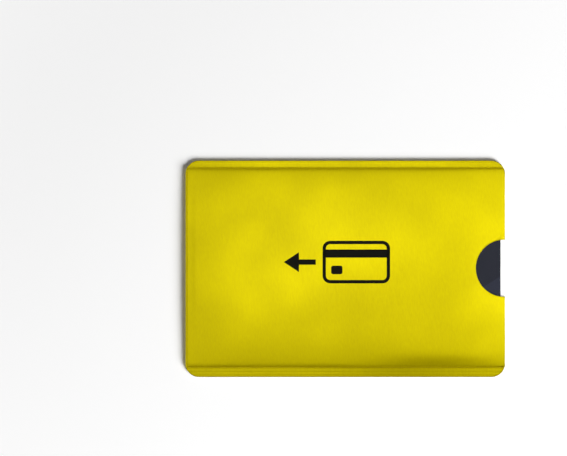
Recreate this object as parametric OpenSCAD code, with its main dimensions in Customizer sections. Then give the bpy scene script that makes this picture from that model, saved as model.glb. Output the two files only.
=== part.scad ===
// Card sleeve: a folded foil laminate, heat sealed along both long sides, with a
// standard card in its pocket. It lies flat on Z = 0, printed panel up. +X points out
// of the mouth and +Y towards the upper seal. All lengths are in millimetres.

/* [Card] */
// Length of the card, an ID-1 size
card_l = 85.6; // [60:0.1:100]
// Width of the card
card_w = 53.98; // [40:0.01:70]
// Thickness of the card
card_t = 0.76; // [0.6:0.01:1.2]
// Radius of the card's corners
card_corner_r = 3.18; // [1:0.01:6]

/* [Card layers] */
// Thickness of each clear overlay
overlay_t = 0.05; // [0.03:0.01:0.08]
// Thickness of the sheet that carries the antenna
inlay_t = 0.10; // [0.08:0.01:0.2]
// Thickness of the contact plate
plate_t = 0.10; // [0.06:0.01:0.15]
// Length of the contact plate along the card
plate_l = 13.0; // [10:0.1:16]
// Width of the contact plate across the card
plate_w = 11.8; // [9:0.1:14]
// Radius of the contact plate's corners
plate_r = 2.0; // [0.5:0.1:4]
// From the card's left edge to the middle of the contact plate
plate_from_left = 15.06; // [12:0.01:24]
// From the card's upper edge to the middle of the contact plate
plate_from_top = 23.9; // [16:0.1:30]
// Width of the lines that part the contacts
contact_line_w = 0.2; // [0.1:0.01:0.4]
// Depth of the lines that part the contacts
contact_line_d = 0.03; // [0.01:0.01:0.05]
// Distance from one contact to the next across the card
contact_pitch = 2.54; // [2:0.01:2.9]
// Width of the middle strip between the two rows of contacts
contact_middle_w = 4.4; // [3:0.1:6]
// Side of the square chip capsule under the plate
capsule_side = 8.4; // [6:0.1:10]
// Radius of the chip capsule's corners
capsule_r = 1.4; // [0.5:0.1:3]
// Thickness of card left below the chip capsule
capsule_floor = 0.20; // [0.1:0.01:0.3]
// Height of the magnetic stripe
stripe_w = 12.7; // [6:0.1:16]
// From the card's upper edge to the magnetic stripe
stripe_from_top = 4.0; // [3.5:0.1:8]
// Length of the signature panel
signature_l = 62; // [40:1:74]
// Height of the signature panel
signature_w = 9.5; // [6:0.1:14]
// From the card's left edge to the signature panel
signature_from_left = 7; // [4:0.5:10]
// Space between the magnetic stripe and the signature panel
signature_space = 3.2; // [1:0.1:6]
// Depth to which stripe and signature panel are pressed into the overlay
inlaid_t = 0.03; // [0.01:0.01:0.04]

/* [Antenna] */
// Number of turns
coil_turns = 4; // [2:1:6]
// From the card's edge to the outermost turn's middle
coil_margin = 3.0; // [2:0.1:5]
// Distance from one turn to the next
coil_pitch = 1.0; // [0.8:0.1:1.3]
// Width of the conductor
coil_w = 0.5; // [0.3:0.05:0.6]
// Thickness of the conductor
coil_t = 0.035; // [0.02:0.005:0.04]
// Bend radius at the coil's corners
coil_r = 3.0; // [1:0.1:4]
// From the contact plate's middle line to each lead
lead_offset = 2.4; // [1:0.1:3.5]
// Thickness of the lead that crosses below the turns
lead_t = 0.025; // [0.015:0.005:0.03]
// Inlay left between the turns and that lead
lead_gap = 0.015; // [0.01:0.005:0.02]

/* [Sleeve] */
// Free space beside the card, on each side of it
side_play = 1.11; // [0.6:0.01:3]
// Width of the upper heat seal
upper_seal_w = 2.1; // [1.5:0.1:6]
// Width of the lower heat seal
lower_seal_w = 2.7; // [1.5:0.1:6]
// From the sleeve's folded end to the card
fold_to_card = 3.15; // [2:0.05:8]
// How far inside the mouth the card ends
card_inset = 1.25; // [0.3:0.05:6]
// Radius of the sleeve's corners
corner_r = 3.8; // [2:0.1:6]
// Radius of the thumb notch at the mouth
notch_r = 8.0; // [5:0.1:14]
// How far inside the mouth the notch's centre lies
notch_inset = 0.25; // [0.05:0.05:3]
// How far above the sleeve's middle line the notch's centre lies
notch_shift = 0.15; // [-3:0.05:3]

/* [Laminate] */
// Thickness of the outer film
film_t = 0.10; // [0.05:0.01:0.2]
// Thickness of the shielding foil
foil_t = 0.04; // [0.03:0.01:0.08]
// Thickness of the paper liner
liner_t = 0.11; // [0.08:0.01:0.2]
// Thickness of the heat-seal bead
seal_t = 0.05; // [0.03:0.01:0.1]

/* [Form] */
// Clearance between the card and the rear liner
rest_clear = 0.07; // [0.05:0.01:0.2]
// Clearance between the card's edges and the front liner
shoulder_clear = 0.06; // [0.05:0.01:0.3]
// Clearance over and under a card that is pushed up to the fold
fold_clear = 0.04; // [0.03:0.01:0.15]
// How far the side seals lie below the card's middle plane
seal_drop = 0.10; // [0:0.01:0.15]
// Extra rise of the printed panel at its middle
crown = 0.35; // [0.1:0.05:1.5]
// Length over which the printed panel rises from the fold
fold_run = 9; // [5:0.5:16]
// Length over which the plain panel falls from the fold to the surface
rear_run = 1.6; // [0.8:0.1:3]
// Depth of the fine ribs pressed into the seals
rib_d = 0.04; // [0.01:0.01:0.06]
// Number of ribs in each seal
ribs = 3; // [2:1:5]

/* [Hidden] */
$fn = 96;
wall = film_t + foil_t + liner_t;

// Plan of the sleeve
pocket_w = card_w + 2 * side_play;
sleeve_l = fold_to_card + card_l + card_inset;
sleeve_w = pocket_w + upper_seal_w + lower_seal_w;
pocket_half = pocket_w / 2;
pocket_y = (lower_seal_w - upper_seal_w) / 2;
card_x = (fold_to_card - card_inset) / 2;

// Heights
card_z = wall + rest_clear;
card_mid = card_z + card_t / 2;
seal_mid = card_mid - seal_drop;
flange_top = seal_mid + seal_t / 2 + wall;
flange_low = seal_mid - seal_t / 2 - wall;
fold_r = card_t / 2 + fold_clear + wall;
fold_x = fold_r - sleeve_l / 2;

// The printed panel climbs steeply beside the card and then more gently to its crown.
// It has made this share of the steep rise where it passes the card's edge.
edge_share = 0.62;
edge_u = card_w / 2 / pocket_half;
edge_z = card_z + card_t + shoulder_clear + wall;
shoulder = (edge_z - flange_top) / edge_share;
shoulder_power = ln(1 - edge_share) / ln(edge_u);
crown_power = 2.2;
crown_z = flange_top + shoulder + crown;

// The printed panel's rise from the fold ends a little above the crown, so that the
// two forms cross and don't just touch.
rise_foot = card_mid + fold_r;
rise_top = crown_z + 0.02;
rise_power = 1.6;

// The plain panel is flat over this share of its half width. Below the card's edge it
// has risen by this share of the card's clearance.
rear_flat = 0.86;
rear_edge_share = 0.6;
rear_power = ln(rear_edge_share * rest_clear / flange_low) / ln(edge_u);

// The plain panel's fall from the fold ends a little below the surface, likewise
fall_top = card_mid - fold_r;
fall_foot = -0.01;

// Sampling of the curves, and how strongly their points crowd towards the seals
steps = 20;
rear_steps = 8;
rise_steps = 9;
fall_steps = 4;
rib_steps = 6;
crowding = 1.7;

// How far tools reach past what they cut. The rounding of the corners by the fold
// starts just inside the folded edge.
past = 1;
corner_trim = 0.02;

// Layers of the card, from its back up
sheet_t = (card_t - 2 * overlay_t - inlay_t) / 2;
rear_sheet_z = overlay_t;
inlay_z = rear_sheet_z + sheet_t;
front_sheet_z = inlay_z + inlay_t;
front_overlay_z = front_sheet_z + sheet_t;
plate_x = plate_from_left - card_l / 2;
plate_y = card_w / 2 - plate_from_top;
plate_z = card_t - plate_t;
stripe_top = card_w / 2 - stripe_from_top;
signature_top = stripe_top - stripe_w - signature_space;

// Antenna: half lengths of the outermost turn, and the level of the lead below it
coil_x = card_l / 2 - coil_margin;
coil_y = card_w / 2 - coil_margin;
coil_z = front_sheet_z - coil_t;
lead_z = coil_z - lead_gap - lead_t;
capsule_x = plate_x - capsule_side / 2;

// Curves of the sleeve

// Neighbouring sheets meet on the same points, to a thousandth of a millimetre
function exact(v) = round(v * 1000) / 1000;

// Share of a width at step i of n, closer together towards the seal
function share(i, n) = 1 - pow(1 - i / n, crowding);

// Height of the printed panel's outside at share u of the pocket's half width
function front_z(u) =
    flange_top + shoulder * (1 - pow(u, shoulder_power)) + crown * (1 - pow(u, crown_power));

// Height of the plain panel's outside at share u
function rear_z(u) = flange_low * pow(u, rear_power);

// Depth of the pressed ribs at share t of a seal's width
function rib(t) = rib_d * (1 - cos(360 * ribs * t)) / 2;

// Height of the printed panel's outside at share s of the rise from the fold
function rise_z(s) = rise_foot + (rise_top - rise_foot) * (1 - pow(1 - s, rise_power));

// Height of the plain panel's outside at share s of the fall from the fold
function fall_z(s) = fall_foot * s + fall_top * pow(1 - s, 2);

// One seal's width from the pocket outwards, as points that start level with the flange
function seal_points(w, z) = [
    for (i = [0 : rib_steps * ribs])
        let (t = i / (rib_steps * ribs)) [pocket_half + w * t, z - rib(t)]
];

function reversed(points) = [for (i = [len(points) - 1 : -1 : 0]) points[i]];
function mirrored(points) = [for (p = reversed(points)) [-p[0], p[1]]];
function moved(points, dx, dy) = [for (p = points) [exact(p[0] + dx), exact(p[1] + dy)]];

// Closes a line with a straight base at height z
function closed(points, z) =
    concat(points, [[points[len(points) - 1][0], z], [points[0][0], z]]);

front_half = [for (i = [0 : steps - 1]) let (u = share(i, steps)) [pocket_half * u, front_z(u)]];
rear_half = [
    for (i = [0 : rear_steps - 1])
        let (u = rear_flat + (1 - rear_flat) * share(i, rear_steps))
            [pocket_half * u, i == 0 ? 0 : rear_z(u)]
];

// A cross section from one long edge to the other, about the pocket's middle: half a
// panel on each side, and the seals at the flange's height z
function section(half, z) = concat(
    [[-pocket_half - lower_seal_w - past, z]],
    mirrored(seal_points(lower_seal_w, z)),
    mirrored([for (i = [1 : len(half) - 1]) half[i]]),
    half[0][0] == 0 ? [] : [[-half[0][0], half[0][1]]],
    half,
    seal_points(upper_seal_w, z),
    [[pocket_half + upper_seal_w + past, z]]
);

front_line = section(front_half, flange_top);
rear_line = section(rear_half, flange_low);

// Lengthwise sections from the fold to past the mouth
front_rise = concat(
    [[fold_x - past, rise_foot]],
    [for (i = [0 : rise_steps]) [fold_x + fold_run * i / rise_steps, rise_z(i / rise_steps)]],
    [[fold_x + fold_run, crown_z + past], [sleeve_l / 2 + past, crown_z + past]]
);
rear_fall = concat(
    [[fold_x - past, fall_top]],
    [for (i = [0 : fall_steps]) [fold_x + rear_run * i / fall_steps, fall_z(i / fall_steps)]],
    [[fold_x + rear_run, -past], [sleeve_l / 2 + past, -past]]
);

// Curve of the antenna

// Corners of the coil's middle line, from its outer end to the lead into the capsule
coil_path = concat(
    [[-coil_x, plate_y - lead_offset]],
    [
        for (k = [0 : coil_turns - 1], corner = [0 : 3])
            let (
                x = coil_x - k * coil_pitch,
                y = coil_y - k * coil_pitch
            )
            corner == 0 ? [-x, -y] :
            corner == 1 ? [x, -y] :
            corner == 2 ? [x, y] :
            [coil_pitch - x, y]
    ],
    [
        [coil_turns * coil_pitch - coil_x, plate_y + lead_offset],
        [capsule_x, plate_y + lead_offset]
    ]
);

last = len(coil_path) - 1;
lead_run = coil_path[last][0] - coil_path[last - 1][0];

// The direction in which stretch i runs, the direction to its right, and the radius of
// the quarter turn to the left before it
function ahead(i) = let (step = coil_path[i + 1] - coil_path[i]) step / norm(step);
function right_of(i) = [ahead(i)[1], -ahead(i)[0]];
function bend(i) = i == last - 1 ? min(coil_r, lead_run / 2) : coil_r;

// The edge of the conductor that lies by `side` to the right of its middle line
function coil_edge(side) = concat(
    [coil_path[0] + side * right_of(0)],
    [
        for (i = [1 : last - 1], a = [0 : 18 : 90])
            coil_path[i] + bend(i) * (ahead(i) - ahead(i - 1))
            + (bend(i) + side) * (sin(a) * ahead(i - 1) - cos(a) * ahead(i))
    ],
    [coil_path[last] + side * right_of(last - 1)]
);

// Sleeve

// Plan of the cut laminate: rounded corners and the thumb notch through both panels.
// The folded edge itself is never cut, so the plan runs past it.
module outline() {
    inner_x = sleeve_l / 2 - corner_r;
    inner_y = sleeve_w / 2 - corner_r;
    difference() {
        union() {
            translate([-sleeve_l / 2 - past, -inner_y]) square([sleeve_l + past, 2 * inner_y]);
            translate([corner_trim - inner_x, -sleeve_w / 2])
                square([2 * inner_x - corner_trim, sleeve_w]);
            for (side = [-1, 1]) {
                translate([inner_x, side * inner_y]) circle(r = corner_r);
                translate([corner_trim - inner_x, side * inner_y]) circle(r = corner_r);
            }
        }
        translate([sleeve_l / 2 - notch_inset, notch_shift]) circle(r = notch_r);
    }
}

// The part of the plan between two lengthwise and two crosswise limits, as a tall block
module plan(x0, x1, y0 = -sleeve_w, y1 = sleeve_w) {
    translate([0, 0, -2 * past]) linear_extrude(crown_z + 4 * past) intersection() {
        outline();
        translate([x0, y0]) square([x1 - x0, y1 - y0]);
    }
}

module main_plan() plan(fold_x, sleeve_l / 2 + past);
module fold_plan() plan(-sleeve_l / 2 - past, fold_x);

// A section in Y and Z drawn out along the sleeve
module across(points) {
    translate([-sleeve_l / 2 - 2 * past, 0, 0]) rotate([90, 0, 90])
        linear_extrude(sleeve_l + 4 * past) polygon(points);
}

// A section in X and Z drawn out across the sleeve
module along(points) {
    rotate([90, 0, 0]) linear_extrude(sleeve_w + 4 * past, center = true) polygon(points);
}

// Everything below the printed panel's outside, lowered by a depth into the wall
module under_front(depth) {
    base = -past - depth;
    intersection() {
        across(closed(moved(front_line, pocket_y, -depth), base));
        along(closed(moved(front_rise, 0, -depth), base));
    }
}

// Everything above the plain panel's outside, raised by a depth into the wall
module above_rear(depth) {
    base = crown_z + past + depth;
    intersection() {
        across(closed(moved(rear_line, pocket_y, depth), base));
        along(closed(moved(rear_fall, 0, depth), base));
    }
}

// The space between both panels' outsides, drawn in by a depth
module between(depth) {
    across(concat(
        moved(front_line, pocket_y, -depth),
        reversed(moved(rear_line, pocket_y, depth))
    ));
}

module fold_core(depth) {
    intersection() {
        translate([fold_x, 0, card_mid]) rotate([90, 0, 0])
            cylinder(r = fold_r - depth, h = sleeve_w + 4 * past, center = true);
        between(depth);
    }
}

// One sheet of the laminate, from one depth to another, in each of its three regions
module front_sheet(outer, inner) {
    intersection() {
        difference() {
            under_front(outer);
            under_front(inner);
        }
        main_plan();
    }
}

module rear_sheet(outer, inner) {
    intersection() {
        difference() {
            above_rear(outer);
            above_rear(inner);
        }
        main_plan();
    }
}

module fold_sheet(outer, inner) {
    intersection() {
        difference() {
            fold_core(outer);
            fold_core(inner);
        }
        fold_plan();
    }
}

// The bead that fills the space between the liners in one strip along a long side
module seal(y0, y1) {
    intersection() {
        between(wall);
        union() {
            translate([fold_x, -sleeve_w, -past])
                cube([sleeve_l + past, 2 * sleeve_w, crown_z + 2 * past]);
            translate([fold_x, 0, card_mid]) rotate([90, 0, 0])
                cylinder(r = fold_r - wall, h = sleeve_w + 4 * past, center = true);
        }
        plan(-sleeve_l / 2 - past, sleeve_l / 2 + past, y0, y1);
    }
}

module front_film() color("#d8cc00") front_sheet(0, film_t);
module rear_film() color("#d0c400") rear_sheet(0, film_t);
module fold_film() color("#c4b800") fold_sheet(0, film_t);

module front_foil() color("#c9ccce") front_sheet(film_t, film_t + foil_t);
module rear_foil() color("#c0c3c5") rear_sheet(film_t, film_t + foil_t);
module fold_foil() color("#b6b9bb") fold_sheet(film_t, film_t + foil_t);

module front_liner() color("#f1eee4") front_sheet(film_t + foil_t, wall);
module rear_liner() color("#e9e6dc") rear_sheet(film_t + foil_t, wall);
module fold_liner() color("#e1ded4") fold_sheet(film_t + foil_t, wall);

module upper_seal() color("#e3d9a8") seal(pocket_y + pocket_half, sleeve_w);
module lower_seal() color("#dbd1a0") seal(-sleeve_w, pocket_y - pocket_half);

// Card, drawn about its own middle with its back at Z = 0

module rounded(l, w, r) {
    square([l - 2 * r, w], center = true);
    square([l, w - 2 * r], center = true);
    for (x = [-1, 1], y = [-1, 1])
        translate([x * (l / 2 - r), y * (w / 2 - r)]) circle(r = r);
}

module in_pocket() translate([card_x, pocket_y, card_z]) children();

module layer(z0, z1) {
    translate([0, 0, z0]) linear_extrude(z1 - z0) rounded(card_l, card_w, card_corner_r);
}

// Pieces let into the card, each reaching up or down by `extra` where it opens a layer
module plate_block(extra = 0) {
    translate([plate_x, plate_y, plate_z])
        linear_extrude(plate_t + extra) rounded(plate_l, plate_w, plate_r);
}

module capsule_block(extra = 0) {
    translate([plate_x, plate_y, capsule_floor])
        linear_extrude(plate_z - capsule_floor + extra) rounded(capsule_side, capsule_side, capsule_r);
}

module stripe_block(extra = 0) {
    translate([-card_l / 2 - extra, stripe_top - stripe_w, -extra])
        cube([card_l + 2 * extra, stripe_w, inlaid_t + extra]);
}

module signature_block(extra = 0) {
    translate([signature_from_left - card_l / 2, signature_top - signature_w, -extra])
        cube([signature_l, signature_w, inlaid_t + extra]);
}

module coil_block() {
    translate([0, 0, coil_z]) linear_extrude(coil_t)
        polygon(concat(coil_edge(coil_w / 2), reversed(coil_edge(-coil_w / 2))));
    // The outer end goes down and crosses below the turns to the capsule
    translate([-coil_x - coil_w / 2, plate_y - lead_offset - coil_w / 2, lead_z]) {
        cube([capsule_x + coil_x + coil_w / 2, coil_w, lead_t]);
        cube([coil_w, coil_w, coil_z + coil_t - lead_z]);
    }
}

module card_front_sheet() color("#2d303a") in_pocket() difference() {
    layer(front_sheet_z, front_overlay_z);
    plate_block(past);
    capsule_block(past);
}

module card_rear_sheet() color("#e8e8ea") in_pocket() difference() {
    layer(rear_sheet_z, inlay_z);
    capsule_block(past);
}

module antenna_inlay() color("#f4f4f0") in_pocket() difference() {
    layer(inlay_z, front_sheet_z);
    capsule_block(past);
    coil_block();
}

module antenna_coil() color("#b0b4b8") in_pocket() coil_block();

module front_overlay() color("#4a4e5c") in_pocket() difference() {
    layer(front_overlay_z, card_t);
    plate_block(past);
}

module rear_overlay() color("#d6d8dc") in_pocket() difference() {
    layer(0, rear_sheet_z);
    stripe_block(past);
    signature_block(past);
}

// The lines that part one side's contacts from the middle strip and from each other
module contact_lines() {
    translate([contact_middle_w / 2, -plate_w, 0])
        cube([contact_line_w, 2 * plate_w, contact_line_d + past]);
    for (row = [-1 : 1])
        translate([contact_middle_w / 2, row * contact_pitch - contact_line_w / 2, 0])
            cube([plate_l, contact_line_w, contact_line_d + past]);
}

module contact_plate() color("#d9b85a") in_pocket() difference() {
    plate_block();
    for (flip = [0, 1])
        translate([plate_x, plate_y, card_t - contact_line_d])
            mirror([flip, 0, 0]) contact_lines();
}

module chip_capsule() color("#1b1b1d") in_pocket() capsule_block();

module magnetic_stripe() color("#141414") in_pocket() stripe_block();

module signature_panel() color("#fbfbf7") in_pocket() signature_block();

front_film();
rear_film();
fold_film();
front_foil();
rear_foil();
fold_foil();
front_liner();
rear_liner();
fold_liner();
upper_seal();
lower_seal();
card_front_sheet();
card_rear_sheet();
antenna_inlay();
antenna_coil();
front_overlay();
rear_overlay();
contact_plate();
chip_capsule();
magnetic_stripe();
signature_panel();
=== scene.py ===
"""Card sleeve of folded, heat sealed foil laminate, with a card in its pocket.

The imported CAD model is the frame. The sleeve's three sheets are drawn again as finer
continuous sheets that wrap round the fold, and the card's layers get their finishes.
Lengths are in millimetres until a mesh is made, and in metres after that.
"""

import math

import bpy
import numpy as np
from bpy.props import FloatProperty, FloatVectorProperty, PointerProperty
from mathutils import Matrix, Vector


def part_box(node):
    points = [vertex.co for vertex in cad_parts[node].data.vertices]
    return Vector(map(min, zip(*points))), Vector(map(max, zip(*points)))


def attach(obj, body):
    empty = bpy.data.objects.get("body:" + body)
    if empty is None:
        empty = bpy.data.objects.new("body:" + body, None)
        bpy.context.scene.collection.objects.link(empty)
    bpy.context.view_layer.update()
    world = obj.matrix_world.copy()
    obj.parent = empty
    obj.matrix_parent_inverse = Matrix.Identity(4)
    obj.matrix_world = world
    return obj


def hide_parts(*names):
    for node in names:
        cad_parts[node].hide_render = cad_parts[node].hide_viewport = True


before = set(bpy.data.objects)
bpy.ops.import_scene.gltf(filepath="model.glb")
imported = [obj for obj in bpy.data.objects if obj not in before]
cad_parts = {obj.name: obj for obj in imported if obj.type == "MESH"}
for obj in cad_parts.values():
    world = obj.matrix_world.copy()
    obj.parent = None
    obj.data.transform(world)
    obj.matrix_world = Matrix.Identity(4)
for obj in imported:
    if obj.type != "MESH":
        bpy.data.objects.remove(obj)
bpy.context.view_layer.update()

bl_info = {
    "name": "Card Sleeve",
    "version": (1, 0, 0),
    "blender": (4, 5, 0),
    "location": "View3D > Sidebar > Sleeve",
    "description": "Builds a foil laminate card sleeve and its card around a CAD frame",
    "category": "Add Mesh",
}

MM = 0.001


# Sizes: the frame's own where it has them


def span(node):
    """Lowest and highest corner of a CAD node, in millimetres."""
    low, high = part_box(node)
    return low / MM, high / MM


film_high = span("front_film")[1]
fold_low, fold_high = span("fold_film")
foil_x, liner_x = span("fold_foil")[0].x, span("fold_liner")[0].x
card_low, card_high = span("front_overlay")
plate_low, plate_high = span("contact_plate")

# The sheets' thicknesses, from the outside in
FILM_T = foil_x - fold_low.x
FOIL_T = liner_x - foil_x
LINER_T = 0.11
WALL = FILM_T + FOIL_T + LINER_T

# Outline, pocket and thumb notch
MOUTH_X, HALF_W = film_high.x, film_high.y
CORNER_R = 3.8
POCKET_TOP = span("upper_seal")[0].y
POCKET_FOOT = span("lower_seal")[1].y
POCKET_Y = (POCKET_TOP + POCKET_FOOT) / 2
POCKET_HALF = (POCKET_TOP - POCKET_FOOT) / 2
NOTCH_R = 8.0
NOTCH_X, NOTCH_Y = MOUTH_X - 0.25, 0.15

# The fold: where it starts, its heights, its radius, the length of its quarter turn, how
# square its section is (1 is round) and how softly the printed panel rises from it
FOLD_X = fold_high.x
FOLD_TOP, FOLD_FOOT = fold_high.z, fold_low.z
FOLD_R = FOLD_X - fold_low.x
NOSE = FOLD_R * math.pi / 2
FOLD_SQUARE = 0.77
FOLD_EASE = 0.06

# Curves of the printed panel: powers of its rise from the fold, of its droop at the mouth
# and of its crown over the upper and the lower half
RISE_POWER, DROOP_POWER = 2.2, 1.7
CROWN_POWER_TOP, CROWN_POWER_FOOT = 3.4, 2.3
# Powers of the crease beside each seal and of the softer bend above it, and the share of
# the step that the crease takes
CREASE_POWER, BEND_POWER, CREASE_SHARE = 600, 60, 0.85
# Curves of the plain panel: its run down from the fold, and its rise to the seals
REAR_RUN, REAR_POWER = 1.6, 46

# Seals: the heights of their outsides, the ribs on each, the powers of their sag, where
# the lower one hangs down further, and how far from the pocket and how wide a line the
# jaws press beside the upper one
FLANGE_TOP, FLANGE_LOW = 0.875, 0.325
RIBS = 3
SAG_POWER_TOP, SAG_POWER_FOOT = 0.75, 0.9
CURL_X, CURL_HALF = 17.0, 19.0
JAW_LINE, JAW_HALF = 0.17, 0.15

# The roll over the card's lower edge: its middle and half length along the sleeve, and
# how far from the seal it rises and fades
ROLL_X, ROLL_HALF, ROLL_NEAR, ROLL_FAR = 27.0, 15.0, 2.4, 12.0
# How far round the notch its rim and its corners at the mouth are pressed down
RIM_REACH, LIP_REACH = 2.2, 3.0
# The line over the card's end: how far beyond it, its half width, and where it fades out
MARK_PAST, MARK_HALF, MARK_FADE, MARK_END = 0.3, 0.35, 23, 25.5
# The power by which dents fade towards the seals
DENT_POWER = 8

# The least height of the panel's outside over the card, how softly the card holds it
# there, and over what share of the pocket's half width
CARD_GAP = 0.015
CARD_CLEAR = card_high.z + WALL + CARD_GAP
CARD_HOLD = 0.012
CARD_SHARE = 0.97

# Lines of the mesh along the sleeve: on each rib, over each half of the pocket and how
# they crowd towards its edge, how far they keep from the notch's own lines, the angles of
# these, and how far inside the long edges the last ones lie
RIB_LINES = 8
HALF_LINES, HALF_CROWD = 56, 1.7
NOTCH_CLEAR = 0.2
NOTCH_ANGLES = (0, 2, 5, 9, 14, 19, 24, 29, 34, 39, 44, 49, 54, 59, 64, 69, 74, 79, 84, 90)
EDGE_INSET = 0.03

# Ink: its height over the film and how deep it sits in it
INK_T = 0.012
INK_BITE = 0.002

# Printed sign: its middle, the card's outline, stripe and field, and the arrow's tail,
# neck and tip, the widths of its shaft, head and tip, and the step at its neck
SIGN_X, SIGN_Y = 3.1, 1.9
SIGN_W, SIGN_H, SIGN_LINE, SIGN_ROUND = 19.0, 12.0, 0.95, 1.7
SIGN_STRIPE, SIGN_STRIPE_Y = 2.3, 2.4
SIGN_FIELD_X, SIGN_FIELD_Y = -7.1, -2.2
SIGN_FIELD_W, SIGN_FIELD_H, SIGN_FIELD_R = 3.2, 2.4, 0.5
ARROW = (-11.4, -16.1, -20.3)
ARROW_SHAFT, ARROW_HEAD, ARROW_TIP, ARROW_STEP = 1.5, 5.6, 0.12, 0.04
# Spacing of the points round the outline, points along the other parts, and lines across
RING_SPACING = 0.6
STRIPE_POINTS, FIELD_POINTS, ARROW_POINTS = 32, 17, 9
RING_LINES, STRIPE_LINES, FIELD_LINES, ARROW_LINES = 2, 4, 4, 6
# Steps round each rounded corner, of the sign and of the contacts
CORNER_STEPS = 8

# Contacts of the standard's layout: four rows 2.54 mm apart, with etched gaps. The tape
# and the outermost contacts have large corners, the others small ones.
CONTACTS_W, CONTACTS_H = plate_high.x - plate_low.x, plate_high.y - plate_low.y
CONTACTS_ROUND, CONTACTS_GAP, CONTACT_PITCH, CONTACT_INNER = 2.0, 0.22, 2.54, 2.3
CONTACT_ROUND, INNER_ROUND = 0.2, 0.25
CONTACT_T, CONTACT_BEVEL, CONTACT_SHARP = 0.035, 0.03, 24


# Properties


def srgb(code):
    """A hex colour as the linear colour that shaders take."""
    parts = [int(code[i : i + 2], 16) / 255 for i in (1, 3, 5)]
    linear = [c / 12.92 if c <= 0.04045 else ((c + 0.055) / 1.055) ** 2.4 for c in parts]
    return (*linear, 1.0)


def length(name, description, default):
    """A length, whose default is given in millimetres."""
    return FloatProperty(
        name=name,
        description=description,
        default=default * MM,
        unit="LENGTH",
        subtype="DISTANCE",
        precision=5,
    )


def colour(name, description, default):
    """A colour, whose default is given in hex."""
    return FloatVectorProperty(
        name=name,
        description=description,
        default=srgb(default),
        size=4,
        min=0,
        max=1,
        subtype="COLOR",
    )


def fraction(name, description, default):
    """A share of a whole, from 0 to 1."""
    return FloatProperty(name=name, description=description, default=default, subtype="FACTOR")


def glow(name, description, default):
    """The brightness of a part of the surroundings, where 1 is white."""
    return FloatProperty(name=name, description=description, default=default)


class SLEEVE_PG_form(bpy.types.PropertyGroup):
    """Shape of the laminate."""

    rise_run: length("Rise", "Length over which the printed panel rises from the fold", 12)
    droop: fraction("Droop", "Share of the crown that is gone at the mouth's free edge", 0.65)
    droop_run: length("Droop length", "Length over which the panel sinks towards the mouth", 24)
    rim: length("Rim", "How far the notch's rim is pressed down", 0.09)
    lip: length("Lip", "How far the corners of notch and mouth are pressed down further", 0.17)
    rib: length("Rib", "Depth of the ribs that the sealing jaws leave", 0.008)
    crease: length("Crease", "Depth of the line that the jaws press beside the upper seal", 0.06)
    upper_sag: length("Upper seal's sag", "How far the upper seal's outer edge hangs down", 0.08)
    lower_sag: length("Lower seal's sag", "How far the lower seal's outer edge hangs down", 0.12)
    lower_curl: length(
        "Lower seal's curl", "How much further it hangs between middle and mouth", 0.10
    )
    edge_roll: length("Edge roll", "How far the cut edge is rolled over by the die", 0.03)
    edge_roll_w: length("Edge roll width", "Width over which the cut edge rolls over", 0.3)
    fold_fullness: length("Fold fullness", "How much thicker the fold is in its middle", 0.42)
    card_roll: length("Card roll", "How far the panel rolls up over the card's lower edge", 0.2)
    card_mark: length("Card mark", "Height of the line that the card's end leaves", 0.02)
    wave: length("Wave", "How far the mouth's edge strays from a straight line", 0.06)


class SLEEVE_PG_finish(bpy.types.PropertyGroup):
    """Colours of the sleeve's materials."""

    lacquer: colour("Lacquer", "Yellow lacquer of the metallised film", "#EEE000")
    lacquer_deep: colour("Deep lacquer", "Yellow lacquer in the brush strokes", "#DFCD00")
    foil: colour("Foil", "Bare aluminium foil", "#DFE1E3")
    foil_deep: colour("Deep foil", "Aluminium foil between the lines of the rolls", "#C9CCCF")
    paper: colour("Paper", "Bleached paper liner", "#F4F1E8")
    paper_deep: colour("Deep paper", "Bleached paper between its fibres", "#E6E1D3")
    bead: colour("Bead", "Hot-melt film between the liners", "#E6DDB4")
    bead_deep: colour("Deep bead", "Hot-melt film where it has flowed thick", "#D6C992")
    ink: colour("Ink", "Black printing ink", "#0D0D07")
    ink_deep: colour("Deep ink", "Black printing ink where it lies thick", "#080805")


class CARD_PG_finish(bpy.types.PropertyGroup):
    """Colours of the card's materials."""

    print_dark: colour("Print", "Printed face of the card", "#151927")
    print_light: colour("Second print", "Second tone of the printed face", "#212536")
    back: colour("Back", "Printed back of the card", "#D3D6DB")
    back_light: colour("Second back", "Second tone of the printed back", "#E0E2E5")
    core: colour("Core", "White plastic core", "#EFEFF0")
    core_deep: colour("Deep core", "White plastic core in the marks of the punch", "#DDDEE0")
    inlay: colour("Inlay", "Unpigmented plastic around the aerial", "#DADCD8")
    inlay_deep: colour("Deep inlay", "Unpigmented plastic in its clouds", "#C9CCC8")
    coil: colour("Coil", "Etched aluminium", "#D0D3D6")
    coil_deep: colour("Deep coil", "Etched aluminium in its pits", "#B4B8BC")
    gold: colour("Plating", "Gold plated contacts", "#E8C774")
    gold_deep: colour("Deep plating", "Gold plated contacts in their scratches", "#D2AC55")
    groove: colour("Groove", "Bare tape between the contacts", "#5A4A2A")
    groove_deep: colour("Deep groove", "Bare tape in its hollows", "#43361D")
    resin: colour("Resin", "Resin over the chip", "#1A1A1C")
    resin_deep: colour("Deep resin", "Resin in its hollows", "#101012")
    stripe: colour("Stripe", "Magnetic stripe", "#221B17")
    stripe_deep: colour("Deep stripe", "Magnetic stripe between its tracks", "#14100E")
    panel: colour("Writing panel", "Panel to write on", "#F6F5EF")
    panel_line: colour("Panel lines", "Printed lines of the panel", "#C3CBD8")


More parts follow.
